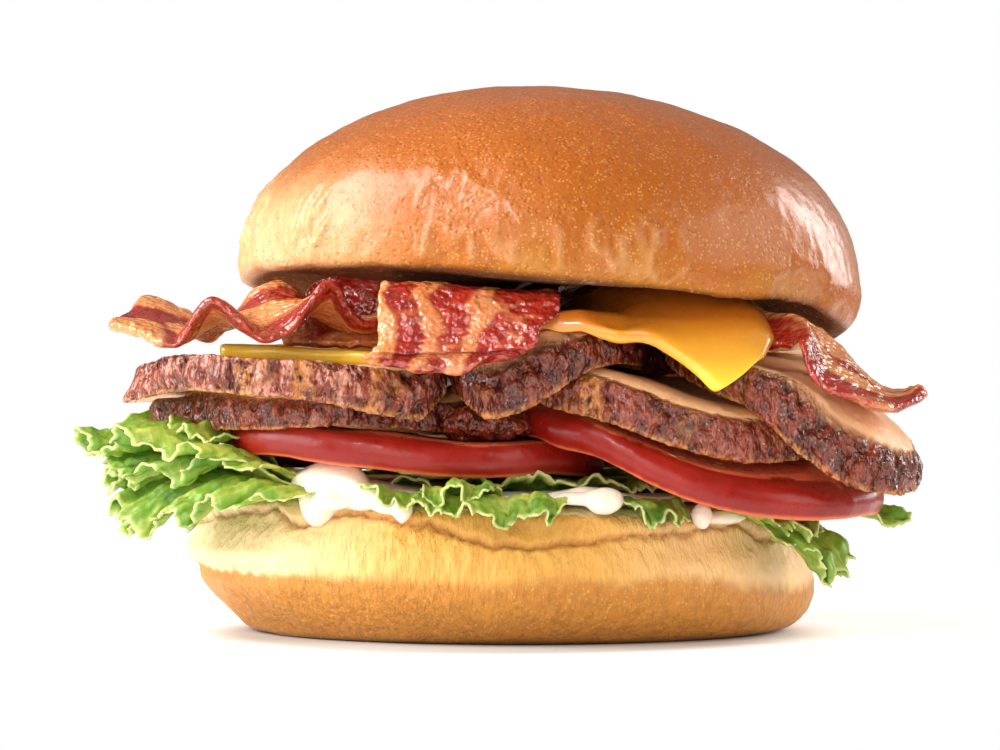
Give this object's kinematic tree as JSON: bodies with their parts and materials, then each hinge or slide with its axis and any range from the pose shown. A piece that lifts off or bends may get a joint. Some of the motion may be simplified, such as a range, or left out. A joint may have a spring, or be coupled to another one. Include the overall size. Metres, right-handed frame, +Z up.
{
  "type": "turkey club sandwich",
  "caption": "Round bun sandwich stacked with fried turkey slices, bacon, cheese, tomato, lettuce and mayonnaise.",
  "frame": {"origin": "centre of the flat underside of the bottom bun", "axes": "+Z up, -Y towards the front that the picture shows, +X to the right in that view"},
  "size_m": [0.1509, 0.1254, 0.0978],
  "materials": {
    "bun_bottom": "soft matte crumb and crust",
    "bun_top": "glazed, lightly pitted crust",
    "mayonnaise": "wet and smooth",
    "lettuce": "crisp leaf with a soft sheen",
    "tomato": "wet cut flesh and skin",
    "turkey": "moist pale meat with a dark rough crust",
    "cheese": "smooth, slightly melted",
    "bacon": "fried, wet and streaky"
  },
  "bodies": {
    "root": {"bun_bottom": "bun_bottom", "mayonnaise": "mayonnaise", "lettuce_left": "lettuce", "lettuce_front": "lettuce", "lettuce_middle": "lettuce", "lettuce_right": "lettuce", "lettuce_back": "lettuce", "tomato_left": "tomato", "tomato_back": "tomato", "tomato_right": "tomato", "turkey_lower_left": "turkey", "turkey_lower_right": "turkey", "turkey_upper_left": "turkey", "turkey_upper_middle": "turkey", "turkey_upper_right": "turkey", "cheese": "cheese", "bacon_left": "bacon", "bacon_middle": "bacon", "bacon_right": "bacon", "bun_top": "bun_top"}
  },
  "joints": []
}
